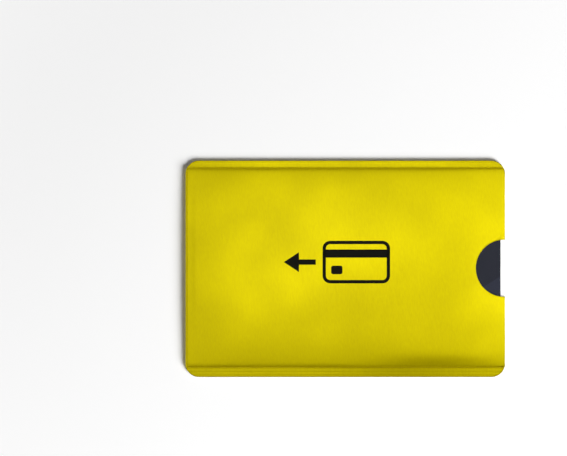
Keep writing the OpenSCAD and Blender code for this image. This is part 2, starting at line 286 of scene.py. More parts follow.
class SLEEVE_PG_studio(bpy.types.PropertyGroup):
    """Light and floor."""

    floor: colour("Floor", "Pale floor", "#F2F2F2")
    brightness: fraction("Brightness", "Share of the lamps' full power", 1.0)
    walls: glow("Walls", "Brightness of the walls that metal mirrors", 0.36)
    skyline: glow("Skyline", "Brightness of the background that metal mirrors", 0.95)
    haze: glow("Haze", "Brightness between skyline and walls", 0.65)
    ceiling: glow("Ceiling", "Brightness of the ceiling that metal mirrors", 0.12)
    walls_tint: colour("Walls' tint", "Warm tone of the studio that metal mirrors", "#FFEED8")
    fill: glow("Fill", "Brightness of the surroundings' even light", 0.05)


# The floor: half its side in metres, how far it lies under the sleeve in millimetres, its
# lightness to the camera, and the distances in metres between which it turns plain white
FLOOR_HALF, FLOOR_UNDER = 3.0, 0.01
FLOOR_LIFT = 1.12
FLOOR_NEAR, FLOOR_FAR = 0.075, 0.20

# Lamps: place and size in metres, brightness of the lit face, whether metal mirrors it and
# whether it lights matte surfaces
LAMPS = (
    ("overhead_box", (-0.04, 0.045, 1.2), (0.50, 0.40), 1.4, True, True),
    ("right_box", (0.13, 0.035, 0.30), (0.10, 0.067), 1.0, True, False),
    ("near_box", (-0.006, 0.006, 0.18), (0.06, 0.04), 0.75, True, False),
    ("mouth_box", (0.08, 0.0, 0.18), (0.06, 0.04), 0.4, True, False),
    ("corner_box", (0.058, -0.026, 0.18), (0.05, 0.04), 0.5, True, False),
    ("lip_box", (0.20, -0.01, 0.50), (0.08, 0.08), 4.5, True, False),
    ("side_box", (0.9, -0.9, 0.76), (0.8, 0.8), 18.0, False, True),
)

# Surroundings that metal mirrors: height above the horizon as a sine, which part, and how
# much of the walls' tint it takes
DOME = (
    (0.22, "skyline", 0.0),
    (0.52, "haze", 0.3),
    (0.67, "walls", 1.0),
    (0.95, "ceiling", 1.0),
)

# Camera: its lens and sensor, the width that it sees, and the point that it stands above
LENS, SENSOR = 200, 36
VIEW_W = 159.5
VIEW_X, VIEW_Y, VIEW_Z = -17.38, 11.49, 2.0


# Curves of the laminate


def smooth_step(low, high, v):
    """A share that rises softly from 0 at low to 1 at high."""
    t = np.clip((v - low) / (high - low), 0, 1)
    return t * t * (3 - 2 * t)


# Soft dents that handling leaves in the printed panel: the middle's X and Y, half length,
# half width, turn in radians, and depth
DENTS = (
    (14, 22, 9, 4, 0.0, 0.05),
    (-36, -14, 6, 13, -0.3, 0.07),
    (-24, 17, 13, 7, 0.3, 0.04),
    (24, -13, 6, 12, 0.5, 0.05),
    (-6, -15, 14, 5, 0.12, 0.04),
    (31, 15, 8, 7, -0.3, 0.04),
    (40, 21, 2.2, 6, 0.35, 0.05),
    (38, -20, 3.0, 7, -0.55, 0.06),
)


def seal_share(y):
    """How far across a seal each point lies, from the pocket at 0 to the edge at 1, and
    whether it lies in the upper seal, the lower seal or neither."""
    upper = (y - POCKET_TOP) / (HALF_W - POCKET_TOP)
    lower = (POCKET_FOOT - y) / (HALF_W + POCKET_FOOT)
    return np.clip(np.maximum(upper, lower), 0, 1), upper > 0, lower > 0


def seal_drop(x, y, form):
    """How far the seals lie below the pocket's edge: ribs and a sagging outer edge."""
    t, upper, lower = seal_share(y)
    ribs = form.rib * (1 - np.cos(2 * math.pi * RIBS * t)) / 2
    ribs = ribs + form.crease * np.exp(-(((y - POCKET_TOP - JAW_LINE) / JAW_HALF) ** 2)) * upper
    upper_sag = t**SAG_POWER_TOP * form.upper_sag * upper
    curl = form.lower_curl * np.exp(-(((x - CURL_X) / CURL_HALF) ** 2))
    lower_sag = t**SAG_POWER_FOOT * (form.lower_sag + curl) * lower
    return (ribs + upper_sag + lower_sag) / MM


def edge_distance(x, y):
    """Distance from the plan's outline, inwards."""
    ax = MOUTH_X - np.abs(x)
    ay = HALF_W - np.abs(y)
    corner = CORNER_R - np.hypot(np.maximum(CORNER_R - ax, 0), np.maximum(CORNER_R - ay, 0))
    inside = np.where((ax < CORNER_R) & (ay < CORNER_R), corner, np.minimum(ax, ay))
    notch = np.hypot(x - NOTCH_X, y - NOTCH_Y) - NOTCH_R
    return np.minimum(inside, notch)


def edge_drop(x, y, form):
    """How far the die has rolled over the cut edge, which is every edge but the fold."""
    roll = np.clip(1 - edge_distance(x, y) / (form.edge_roll_w / MM), 0, 1) ** 2
    return form.edge_roll / MM * roll * (x > FOLD_X)


def front_height(x, y, form):
    """Height of the printed panel's outside."""
    u = np.clip(np.abs(y - POCKET_Y) / POCKET_HALF, 0, 1)
    in_pocket = 1 - u**DENT_POWER

    # Over the card's edges the panel stands as high as at the fold, and from there it
    # rises to its middle, the more the further it is from the fold
    s = np.clip((x - FOLD_X) / (form.rise_run / MM), 0, 1)
    s = np.hypot(s, FOLD_EASE) - FOLD_EASE
    full = form.fold_fullness / MM
    sunk = np.clip(1 - (MOUTH_X - x) / (form.droop_run / MM), 0, 1) ** DROOP_POWER
    rise = full + (film_high.z - FOLD_TOP - full) * (1 - (1 - s) ** RISE_POWER)
    crown = rise * (1 - form.droop * sunk)
    power = np.where(y > POCKET_Y, CROWN_POWER_TOP, CROWN_POWER_FOOT)
    crease = CREASE_SHARE * (1 - u**CREASE_POWER)
    shoulder = crease + (1 - CREASE_SHARE) * (1 - u**BEND_POWER)
    z = FLANGE_TOP + (FOLD_TOP - FLANGE_TOP) * shoulder + crown * (1 - u**power)

    for dx, dy, half_l, half_w, turn, depth in DENTS:
        a = (x - dx) * math.cos(turn) + (y - dy) * math.sin(turn)
        b = (y - dy) * math.cos(turn) - (x - dx) * math.sin(turn)
        z = z - depth * np.exp(-((a / half_l) ** 2) - (b / half_w) ** 2) * in_pocket

    # Near the mouth it rolls steeply over the card's lower edge
    inward = np.maximum(y - POCKET_FOOT, 0)
    over = (1 - np.exp(-((inward / ROLL_NEAR) ** 2))) * np.exp(-((inward / ROLL_FAR) ** 2))
    z = z + form.card_roll / MM * over * np.exp(-(((x - ROLL_X) / ROLL_HALF) ** 2))

    # A thumb has pressed down the notch's rim, and most of all the corners beside it
    to_rim = np.maximum(np.hypot(x - NOTCH_X, y - NOTCH_Y) - NOTCH_R, 0)
    z = z - form.rim / MM * np.exp(-to_rim / RIM_REACH)
    to_lip = np.hypot(x - MOUTH_X, np.abs(y - NOTCH_Y) - NOTCH_R)
    z = z - form.lip / MM * np.exp(-to_lip / LIP_REACH)

    # The line over the card's end
    mark = np.exp(-(((x - card_low.x + MARK_PAST) / MARK_HALF) ** 2))
    mark = mark * smooth_step(MARK_END, MARK_FADE, np.abs(y - POCKET_Y))
    z = z + form.card_mark / MM * mark

    z = np.minimum(z, film_high.z) - seal_drop(x, y, form)
    z = z - edge_drop(x, y, form)

    # The card holds it up
    held = z + CARD_HOLD * np.logaddexp(0, (CARD_CLEAR - z) / CARD_HOLD)
    return np.where(u < CARD_SHARE, held, z)


def rear_height(x, y, form):
    """Height of the plain panel's outside."""
    u = np.clip(np.abs(y - POCKET_Y) / POCKET_HALF, 0, 1)
    s = np.clip((x - FOLD_X) / REAR_RUN, 0, 1)
    z = np.maximum(FLANGE_LOW * u**REAR_POWER, FOLD_FOOT * (1 - s) ** 2) - seal_drop(x, y, form)
    return z - edge_drop(x, y, form) * (u >= 1)


# Grid of the laminate


def crowded(count, power):
    """Shares from 0 to 1 that crowd towards 1."""
    return 1 - (1 - np.arange(count + 1) / count) ** power


def row_lines():
    """Y of the mesh's lines along the sleeve: ribs, shoulders and the notch's arc."""
    count = RIB_LINES * RIBS
    ribs = np.arange(1, count + 1) / count
    upper = POCKET_TOP + (HALF_W - POCKET_TOP) * ribs
    lower = POCKET_FOOT - (HALF_W + POCKET_FOOT) * ribs
    half = POCKET_HALF * crowded(HALF_LINES, HALF_CROWD)
    pocket = np.concatenate([POCKET_Y + half, POCKET_Y - half])
    outside = pocket[np.abs(pocket - NOTCH_Y) > NOTCH_R + NOTCH_CLEAR]
    arc = NOTCH_R * np.cos(np.radians(NOTCH_ANGLES))
    notch = np.concatenate([NOTCH_Y + arc, NOTCH_Y - arc])
    corner, last = HALF_W - CORNER_R, HALF_W - EDGE_INSET
    ends = [last, -last, corner, -corner]
    return np.unique(np.round(np.concatenate([upper, lower, outside, notch, ends]), 4))


def mouth_line(y, form):
    """X of the mouth's edge on each line."""
    past = np.maximum(np.abs(y) - (HALF_W - CORNER_R), 0)
    x = MOUTH_X - CORNER_R + np.sqrt(np.maximum(CORNER_R**2 - past**2, 0))
    # The cut strays by a long and a short wave, which together stay between 0 and 1
    wave = 0.5 - 0.3 * np.sin(y / 3.7 + 0.6) - 0.2 * np.sin(y / 1.9)
    x = x - form.wave / MM * wave * (np.abs(y) < HALF_W - CORNER_R)
    away = np.abs(y - NOTCH_Y)
    notch = NOTCH_X - np.sqrt(np.maximum(NOTCH_R**2 - away**2, 0))
    return np.where(away < NOTCH_R - 1e-6, notch, x)


def fold_line(y):
    """On each line, the distance along the laminate from the fold's crest to the rounded
    corner, and the fold's radius. Beside the seals the die only presses the fold tighter."""
    past = np.maximum(np.abs(y) - (HALF_W - CORNER_R), 0)
    inset = CORNER_R - np.sqrt(np.maximum(CORNER_R**2 - past**2, 0))
    bend = np.arccos(np.clip((FOLD_R - inset) / FOLD_R, 0, 1))
    cut = np.where(inset < FOLD_R, FOLD_R * bend, NOSE + inset - FOLD_R)
    sealed = (y > POCKET_TOP + 1e-3) | (y < POCKET_FOOT - 1e-3)
    return np.where(sealed, cut, 0), np.where(sealed, FOLD_R, FOLD_R - inset)


class Laminate:
    """The folded laminate as lines along the sleeve, from which each sheet is cut."""

    # X where the panels' even part starts and ends, between the fold and the mouth
    EVEN_START, EVEN_END = -38.0, 33.0
    # Steps round the fold, over the rise beside it, along the even part and at the mouth,
    # and how the second and the last crowd
    NOSE_STEPS, RISE_STEPS, EVEN_STEPS, MOUTH_STEPS = 8, 14, 71, 20
    RISE_CROWD, MOUTH_CROWD = 1.4, 1.9

    def __init__(self, form):
        self.form = form
        self.y = row_lines()
        reach = NOSE + self.EVEN_START - FOLD_X
        shares = np.arange(1, self.RISE_STEPS + 1) / self.RISE_STEPS
        rise = NOSE + (reach - NOSE) * shares**self.RISE_CROWD
        turn = NOSE * np.arange(self.NOSE_STEPS + 1) / self.NOSE_STEPS
        base = np.concatenate([turn, rise]) / reach
        start, self.radius = fold_line(self.y)
        self.run = (start + (reach - start) * base[:, None]).T
        self.even = np.linspace(self.EVEN_START, self.EVEN_END, self.EVEN_STEPS + 1)[1:]
        self.mouth = crowded(self.MOUTH_STEPS, self.MOUTH_CROWD)[1:]
        self.welded = start < 1e-6

    def sheet_points(self, depth, front):
        """Points of one side of the laminate at a depth below its outside, row by row."""
        form, y = self.form, self.y
        side = 1 if front else -1
        height = front_height if front else rear_height

        # Round the fold, by the angle that each point has turned from the crest
        top = front_height(np.full_like(y, FOLD_X), y, form)
        foot = rear_height(np.full_like(y, FOLD_X), y, form)
        middle = ((top + foot) / 2)[:, None]
        half = ((top - foot) / 2 - depth)[:, None]
        bend = np.minimum(self.run, NOSE) / FOLD_R
        out = (self.radius[:, None] - depth) * np.maximum(np.cos(bend), 0) ** FOLD_SQUARE
        fold_x = FOLD_X - out
        fold_z = middle + side * half * np.sin(bend) ** FOLD_SQUARE

        # From there to the mouth, on the panel
        ends = mouth_line(y, form)
        flat_x = np.concatenate(
            [
                FOLD_X + np.maximum(self.run - NOSE, 0),
                np.tile(self.even, (len(y), 1)),
                self.EVEN_END + (ends - self.EVEN_END)[:, None] * self.mouth[None, :],
            ],
            axis=1,
        )
        flat_y = np.tile(y[:, None], (1, flat_x.shape[1]))
        flat_z = height(flat_x, flat_y, form) - side * depth
        near, turning = np.s_[:, : self.run.shape[1]], self.run <= NOSE
        flat_x[near] = np.where(turning, fold_x, flat_x[near])
        flat_z[near] = np.where(turning, fold_z, flat_z[near])
        return np.stack([flat_x, flat_y, flat_z], axis=2)


def quads(index):
    """Faces of a grid of point numbers."""
    a, b, c, d = index[:-1, :-1], index[:-1, 1:], index[1:, 1:], index[1:, :-1]
    return np.stack([a, b, c, d], axis=-1).reshape(-1, 4)


def rim(faces):
    """Edges that only one face uses, in that face's direction."""
    a = faces.reshape(-1)
    b = np.roll(faces, -1, axis=1).reshape(-1)
    keys = np.minimum(a, b).astype(np.int64) * (a.max() + 1) + np.maximum(a, b)
    _, where, counts = np.unique(keys, return_index=True, return_counts=True)
    once = where[counts == 1]
    return a[once], b[once]


def make_mesh(name, points, faces, material, sharp=35):
    """A piece from points in millimetres and faces, smooth but for edges sharper than an
    angle in degrees."""
    mesh = bpy.data.meshes.new(name)
    vertices = [tuple(p) for p in np.asarray(points) * MM]
    mesh.from_pydata(vertices, [], [list(map(int, f)) for f in faces])
    mesh.validate()
    mesh.polygons.foreach_set("use_smooth", np.ones(len(mesh.polygons), bool))
    mesh.set_sharp_from_angle(angle=math.radians(sharp))
    mesh.materials.append(material)
    piece = bpy.data.objects.new(name, mesh)
    bpy.context.scene.collection.objects.link(piece)
    return piece


def dress(node, material):
    """Gives a CAD node's solid its material."""
    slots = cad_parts[node].data.materials
    slots.clear()
    slots.append(material)


def join(parts):
    """Points and faces of several meshes as one."""
    points, faces, count = [], [], 0
    for part_points, part_faces in parts:
        points.append(part_points)
        faces += [tuple(int(i) + count for i in face) for face in part_faces]
        count += len(part_points)
    return np.concatenate(points), faces


def closed_shell(outer, inner, faces):
    """Points and faces of the solid between two surfaces with the same faces."""
    count = len(outer)
    a, b = rim(faces)
    sides = np.stack([b, a, a + count, b + count], axis=1)
    return np.concatenate([outer, inner]), np.concatenate([faces, faces[:, ::-1] + count, sides])


def laminate_sheet(name, depth, thickness, material, nodes):
    """One sheet of the laminate, from mouth to mouth round the fold."""
    laminate = Laminate(bpy.context.scene.sleeve_form)
    sides = [
        (laminate.sheet_points(d, True), laminate.sheet_points(d, False))
        for d in (depth, depth + thickness)
    ]
    rows, columns = sides[0][0].shape[:2]
    front_index = np.arange(rows * columns).reshape(rows, columns)
    rear_index = front_index + rows * columns

    # The two panels share their points along the fold's crest
    rear_index[laminate.welded, 0] = front_index[laminate.welded, 0]
    faces = np.concatenate([quads(front_index), quads(rear_index)[:, ::-1]])
    used = np.unique(faces)
    renumber = np.full(2 * rows * columns, -1)
    renumber[used] = np.arange(len(used))
    faces = renumber[faces]
    outer, inner = (np.concatenate([f.reshape(-1, 3), r.reshape(-1, 3)])[used] for f, r in sides)
    points, faces = closed_shell(outer, inner, faces)
    piece = make_mesh(name, points, faces, material)
    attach(piece, "sleeve")
    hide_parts(*nodes)
    return piece


def seal_bead(name, upper, material, node):
    """The bead between the liners in one seal, on the same lines as the sheets."""
    laminate = Laminate(bpy.context.scene.sleeve_form)
    y = laminate.y
    rows = y >= POCKET_TOP - 1e-6 if upper else y <= POCKET_FOOT + 1e-6
    top = laminate.sheet_points(WALL, True)[rows]
    foot = laminate.sheet_points(WALL, False)[rows]
    index = np.arange(top.shape[0] * top.shape[1]).reshape(top.shape[:2])
    points, faces = closed_shell(top.reshape(-1, 3), foot.reshape(-1, 3), quads(index))
    piece = make_mesh(name, points, faces, material)
    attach(piece, "sleeve")
    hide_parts(node)
    return piece


# Printed sign: a card with a stripe and a field, and an arrow that points into the pocket


def stroke(path, widths, closed=False):
    """A flat strip along a path, as its left and its right line."""
    path = np.asarray(path, float)
    ahead = np.roll(path, -1, 0) - np.roll(path, 1, 0) if closed else np.gradient(path, axis=0)
    ahead /= np.linalg.norm(ahead, axis=1)[:, None]
    across = np.stack([-ahead[:, 1], ahead[:, 0]], 1) * (np.asarray(widths, float) / 2)[:, None]
    return path + across, path - across


def rounded_box(width, height, radius, spacing=None):
    """Outline of a box with round corners about the origin, counterclockwise, with points
    along its straight sides too where a spacing is given."""
    outline = []
    for corner, (sx, sy) in enumerate(((1, 1), (-1, 1), (-1, -1), (1, -1))):
        x, y = sx * (width / 2 - radius), sy * (height / 2 - radius)
        for step in range(CORNER_STEPS + 1):
            a = math.pi / 2 * (corner + step / CORNER_STEPS)
            outline.append((x + radius * math.cos(a), y + radius * math.sin(a)))
    if spacing is None:
        return np.array(outline)
    dense = []
    for (x0, y0), (x1, y1) in zip(outline, outline[1:] + outline[:1]):
        count = max(1, round(math.hypot(x1 - x0, y1 - y0) / spacing))
        dense += [(x0 + (x1 - x0) * k / count, y0 + (y1 - y0) * k / count) for k in range(count)]
    return np.array(dense)


def sign_shapes():
    """The sign's parts: left line, right line, whether it closes, and lines across it."""
    middle = np.array([SIGN_X, SIGN_Y])
    ring = rounded_box(SIGN_W - SIGN_LINE, SIGN_H - SIGN_LINE, SIGN_ROUND, RING_SPACING) + middle
    shapes = [(*stroke(ring, [SIGN_LINE] * len(ring), True), True, RING_LINES)]

    reach = (SIGN_W - SIGN_LINE) / 2
    along = np.linspace(-reach, reach, STRIPE_POINTS)
    stripe = np.stack([along, np.full_like(along, SIGN_STRIPE_Y)], 1) + middle
    shapes.append((*stroke(stripe, [SIGN_STRIPE] * STRIPE_POINTS), False, STRIPE_LINES))

    # A small field with round corners, drawn as a strip that narrows at both ends
    part = np.linspace(0, 1, FIELD_POINTS)
    end = np.clip(1 - np.minimum(part, 1 - part) * SIGN_FIELD_W / SIGN_FIELD_R, 0, 1)
    widths = SIGN_FIELD_H - 2 * SIGN_FIELD_R * (1 - np.sqrt(1 - end**2))
    along = SIGN_FIELD_X + SIGN_FIELD_W * part
    field = np.stack([along, np.full_like(along, SIGN_FIELD_Y)], 1) + middle
    shapes.append((*stroke(field, widths), False, FIELD_LINES))

    tail, neck, tip = ARROW
    shaft = np.linspace(tail, neck, ARROW_POINTS)
    head = np.linspace(neck - ARROW_STEP, tip, ARROW_POINTS)
    along = np.concatenate([shaft, head])
    arrow = np.stack([along, np.zeros_like(along)], 1) + middle
    head_widths = np.linspace(ARROW_HEAD, ARROW_TIP, ARROW_POINTS)
    widths = np.concatenate([np.full_like(shaft, ARROW_SHAFT), head_widths])
    shapes.append((*stroke(arrow, widths), False, ARROW_LINES))
    return shapes


def printed_strip(left, right, closed, count, form):
    """Points and faces of a thin layer of ink between two lines, lying on the film."""
    share = np.linspace(0, 1, count + 1)[:, None, None]
    flat = left * (1 - share) + right * share
    x, y = flat[..., 0], flat[..., 1]
    level = front_height(x, y, form)
    top = np.stack([x, y, level + INK_T], -1)
    foot = np.stack([x, y, level - INK_BITE], -1)
    index = np.arange(x.size).reshape(x.shape)
    if closed:
        index = np.concatenate([index, index[:, :1]], 1)
    return closed_shell(top.reshape(-1, 3), foot.reshape(-1, 3), quads(index)[:, ::-1])


# Contacts


def tile(outline, low, high, bevel):
    """Points and faces of a flat tile with a bevelled top over a convex outline."""
    outline = np.asarray(outline, float)
    count = len(outline)
    middle = outline.mean(0)
    inward = middle - outline
    inset = outline + inward / np.linalg.norm(inward, axis=1)[:, None] * bevel
    rings = [(outline, low), (outline, high - bevel / 2), (inset, high)]
    points = np.concatenate([np.column_stack([ring, np.full(count, z)]) for ring, z in rings])
    here = np.arange(count)
    ahead = np.roll(here, -1)
    faces = [tuple(here[::-1]), tuple(here + 2 * count)]
    for level in (0, count):
        a, b = here + level, ahead + level
        faces += list(zip(a, b, b + count, a + count))
    return points, faces


def field_outline(x0, y0, x1, y1, radii):
    """Outline of one contact, counterclockwise from its lower right corner, with a radius
    for each of its corners."""
    outline = []
    corners = ((x1, y0, -1, 1), (x1, y1, -1, -1), (x0, y1, 1, -1), (x0, y0, 1, 1))
    for turn, ((x, y, sx, sy), r) in enumerate(zip(corners, radii)):
        for step in range(CORNER_STEPS + 1):
            a = math.pi / 2 * (turn - 1 + step / CORNER_STEPS)
            outline.append((x + sx * r + r * math.cos(a), y + sy * r + r * math.sin(a)))
    return outline


def contact_fields():
    """Outlines of the eight contacts and of the field between them, about the middle."""
    half_w, half_h, gap = CONTACTS_W / 2, CONTACTS_H / 2, CONTACTS_GAP / 2
    inner, small = CONTACT_INNER, CONTACT_ROUND
    rows = [-half_h, -CONTACT_PITCH, 0, CONTACT_PITCH, half_h]
    fields = [field_outline(gap - inner, -half_h, inner - gap, half_h, [INNER_ROUND] * 4)]
    for low, high in zip(rows, rows[1:]):
        foot, top = low + gap * (low > -half_h), high - gap * (high < half_h)
        foot_r = CONTACTS_ROUND if low == -half_h else small
        top_r = CONTACTS_ROUND if high == half_h else small
        right, left = (inner + gap, foot, half_w, top), (-half_w, foot, -inner - gap, top)
        fields.append(field_outline(*right, [foot_r, top_r, small, small]))
        fields.append(field_outline(*left, [small, small, top_r, foot_r]))
    return fields


# Materials


def add(tree, kind, settings=None, links=None):
    """Adds a node with its settings and links, and returns it."""
    node = tree.nodes.new(kind)
    for key, value in (settings or {}).items():
        if isinstance(key, str) and hasattr(node, key):
            setattr(node, key, value)
        else:
            node.inputs[key].default_value = value
    for key, socket in (links or {}).items():
        tree.links.new(socket, node.inputs[key])
    return node


def new_material(name, settings):
    """A material with its shader: the material, its tree and the shader."""
    material = bpy.data.materials.new(name)
    material.use_nodes = True
    tree = material.node_tree
    tree.nodes.clear()
    surface = add(tree, "ShaderNodeBsdfPrincipled", settings)
    add(tree, "ShaderNodeOutputMaterial", {}, {"Surface": surface.outputs[0]})
    return material, tree, surface


def relief(tree, surface, size, height, turn=0.0, detail=2.0):
    """Uneven marks of a size in millimetres along X, Y and Z, turned by degrees and pressed
    into the surface to a height in millimetres. Returns the marks' strength, 0 to 1."""
    place = add(tree, "ShaderNodeTexCoord").outputs["Object"]
    turns = {"Rotation": (0, 0, math.radians(turn))}
    turned = add(tree, "ShaderNodeMapping", turns, {"Vector": place})
    scales = {"Scale": [1 / (v * MM) for v in size]}
    scaled = add(tree, "ShaderNodeMapping", scales, {"Vector": turned.outputs[0]})
    noise = {"Scale": 1.0, "Detail": detail}
    marks = add(tree, "ShaderNodeTexNoise", noise, {"Vector": scaled.outputs[0]})
    depth = {"Strength": 1.0, "Distance": height * MM}
    bump = add(tree, "ShaderNodeBump", depth, {"Height": marks.outputs["Fac"]})
    tree.links.new(bump.outputs[0], surface.inputs["Normal"])
    return marks.outputs["Fac"]


def shade(tree, surface, share, first, second):
    """Colours the surface between two tones by a share."""
    pair = {"data_type": "RGBA", 6: tuple(first), 7: tuple(second)}
    tones = add(tree, "ShaderNodeMix", pair, {0: share})
    tree.links.new(tones.outputs[2], surface.inputs["Base Color"])


def gloss(tree, surface, share, first, second):
    """Spreads the surface's roughness between two values by a share, whose noise lies
    mostly between 0.3 and 0.7."""
    limits = {"From Min": 0.3, "From Max": 0.7, "To Min": first, "To Max": second}
    spread = add(tree, "ShaderNodeMapRange", limits, {"Value": share})
    tree.links.new(spread.outputs[0], surface.inputs["Roughness"])


def metallised_film():
    """Polyester film, vacuum metallised and lacquered yellow, with a brushed look. The metal
    gives the satin glow and its soft gradients, the lacquer the colour and a pale gloss."""
    finish = bpy.context.scene.sleeve_finish
    settings = {"Metallic": 1.0, "Coat Weight": 0.08, "Coat Roughness": 0.25}
    material, tree, surface = new_material("metallised_film_lacquered_yellow", settings)
    # Brush strokes are some 0.05 mm wide: drawn at 0.25 mm, 1.4 mm long and leaning left
    strokes = relief(tree, surface, (0.25, 1.4, 1.4), 0.004, turn=-6, detail=1.5)
    shade(tree, surface, strokes, finish.lacquer_deep, finish.lacquer)
    # The lacquer's gloss changes in patches of about 20 mm
    place = add(tree, "ShaderNodeTexCoord").outputs["Object"]
    noise = {"Scale": 1 / (20 * MM), "Detail": 2.0}
    patches = add(tree, "ShaderNodeTexNoise", noise, {"Vector": place})
    gloss(tree, surface, patches.outputs["Fac"], 0.31, 0.38)
    return material


def rolled_foil():
    """Aluminium foil, rolled. It shows at the cut edges as a bright grey line with fine
    lines of the rolls along the sleeve."""
    finish = bpy.context.scene.sleeve_finish
    material, tree, surface = new_material("aluminium_foil_rolled", {"Metallic": 1.0})
    # Roll lines are finer than 0.05 mm: drawn 0.12 mm wide
    lines = relief(tree, surface, (9.0, 0.12, 0.12), 0.002)
    gloss(tree, surface, lines, 0.22, 0.38)
    shade(tree, surface, lines, finish.foil_deep, finish.foil)
    return material


def liner_paper():
    """Bleached kraft paper, calendered. It looks white, matt and slightly fibrous inside
    the mouth and at the cut edges."""
    finish = bpy.context.scene.sleeve_finish
    settings = {"Specular IOR Level": 0.35}
    material, tree, surface = new_material("kraft_paper_bleached_calendered", settings)
    # Fibres are about 1.2 mm long and 0.03 mm wide: drawn 0.15 mm wide
    fibres = relief(tree, surface, (1.2, 0.15, 0.15), 0.010, turn=20, detail=3.0)
    gloss(tree, surface, fibres, 0.70, 0.88)
    shade(tree, surface, fibres, finish.paper_deep, finish.paper)
    return material


def hot_melt():
    """Polyethylene, fused between heated jaws. It is milky and waxy, with flow marks."""
    finish = bpy.context.scene.sleeve_finish
    material, tree, surface = new_material("polyethylene_hot_melt_fused", {"IOR": 1.51})
    # Flow marks are about 1.6 mm long and 0.3 mm wide
    flow = relief(tree, surface, (1.6, 0.3, 0.3), 0.008)
    gloss(tree, surface, flow, 0.30, 0.48)
    shade(tree, surface, flow, finish.bead_deep, finish.bead)
    return material


def screen_ink():
    """Black ink, screen printed. It lies on the film as a matt layer in which the screen's
    mesh leaves a faint texture."""
    finish = bpy.context.scene.sleeve_finish
    material, tree, surface = new_material("screen_ink_black", {"Specular IOR Level": 0.15})
    # Threads of the screen are 0.08 mm apart: drawn at 0.2 mm
    mesh_marks = relief(tree, surface, (0.2, 0.2, 0.2), 0.003)
    gloss(tree, surface, mesh_marks, 0.50, 0.66)
    shade(tree, surface, mesh_marks, finish.ink_deep, finish.ink)
    return material


# Straight lines between the tones of the card's print: the direction across each in
# degrees, and its distance from the frame's origin
FRONT_FACETS = ((-58, 24.96), (-112, 9.0), (197, 21.0))
BACK_FACETS = ((-64, 16.0), (20, 12.0))
# Distance between the writing panel's lines
PANEL_PITCH = 0.9


def facets(tree, lines):
    """Where a place on the card lies beyond an odd number of straight lines."""
    place = add(tree, "ShaderNodeTexCoord").outputs["Object"]
    total = None
    for turn, distance in lines:
        across = (math.cos(math.radians(turn)), math.sin(math.radians(turn)), 0)
        product = {"operation": "DOT_PRODUCT", 1: across}
        far = add(tree, "ShaderNodeVectorMath", product, {0: place}).outputs["Value"]
        test = {"operation": "GREATER_THAN", 1: distance * MM}
        beyond = add(tree, "ShaderNodeMath", test, {0: far}).outputs[0]
        if total is None:
            total = beyond
            continue
        change = add(tree, "ShaderNodeMath", {"operation": "SUBTRACT"}, {0: total, 1: beyond})
        size = {0: change.outputs[0]}
        total = add(tree, "ShaderNodeMath", {"operation": "ABSOLUTE"}, size).outputs[0]
    return total


def card_face(name, first, second, lines):
    """Offset print under a clear plastic overlay, pressed against a satin plate. It shows
    large flat tones under an even, fine grained sheen."""
    settings = {
        "IOR": 1.53,
        "Specular IOR Level": 0.3,
        "Coat Weight": 0.15,
        "Coat Roughness": 0.35,
    }
    material, tree, surface = new_material(name, settings)
    # Grain of the press plate is about 0.05 mm: drawn at 0.18 mm
    grain = relief(tree, surface, (0.18, 0.18, 0.18), 0.002)
    gloss(tree, surface, grain, 0.42, 0.54)
    shade(tree, surface, facets(tree, lines), first, second)
    return material


def card_core():
    """White card plastic, punched. The cut edge shows upright marks of the punch."""
    finish = bpy.context.scene.card_finish
    material, tree, surface = new_material("card_plastic_white_punched", {"IOR": 1.53})
    # Punch marks are finer than 0.05 mm: drawn 0.15 mm wide
    marks = relief(tree, surface, (0.15, 0.15, 1.5), 0.006)
    gloss(tree, surface, marks, 0.45, 0.62)
    shade(tree, surface, marks, finish.core_deep, finish.core)
    return material


def card_inlay():
    """Natural card plastic, laminated. It is greyer than the core, as no pigment is in it."""
    finish = bpy.context.scene.card_finish
    material, tree, surface = new_material("card_plastic_natural_laminated", {"IOR": 1.53})
    # Clouds from the press are about 2.5 mm across
    clouds = relief(tree, surface, (2.5, 2.5, 2.5), 0.002)
    gloss(tree, surface, clouds, 0.30, 0.42)
    shade(tree, surface, clouds, finish.inlay_deep, finish.inlay)
    return material


def etched_coil():
    """Aluminium foil, etched into the aerial's turns. It is dull and faintly pitted."""
    finish = bpy.context.scene.card_finish
    material, tree, surface = new_material("aluminium_foil_etched", {"Metallic": 1.0})
    # Pits are about 0.03 mm: drawn at 0.15 mm
    pits = relief(tree, surface, (0.15, 0.15, 0.15), 0.003)
    gloss(tree, surface, pits, 0.34, 0.50)
    shade(tree, surface, pits, finish.coil_deep, finish.coil)
    return material


def plated_contact():
    """Copper foil, nickel and gold plated. It is bright and warm, with wiping scratches."""
    finish = bpy.context.scene.card_finish
    material, tree, surface = new_material("gold_plate_on_copper", {"Metallic": 1.0})
    # Wiping scratches run along the card: drawn 0.1 mm wide, wider than the real ones
    scratches = relief(tree, surface, (3.0, 0.1, 0.1), 0.0015, detail=3.0)
    gloss(tree, surface, scratches, 0.18, 0.34)
    shade(tree, surface, scratches, finish.gold_deep, finish.gold)
    return material


def potting_resin(name, roughness, first, second):
    """Epoxy resin, cured with a soft, slightly uneven skin: poured over the chip, where it
    is nearly black, or in the glass tape under the contacts, where it is brown."""
    material, tree, surface = new_material(name, {"IOR": 1.55})
    # The skin's hollows are about 0.4 mm across
    skin = relief(tree, surface, (0.4, 0.4, 0.4), 0.006)
    gloss(tree, surface, skin, roughness - 0.08, roughness + 0.08)
    shade(tree, surface, skin, first, second)
    return material


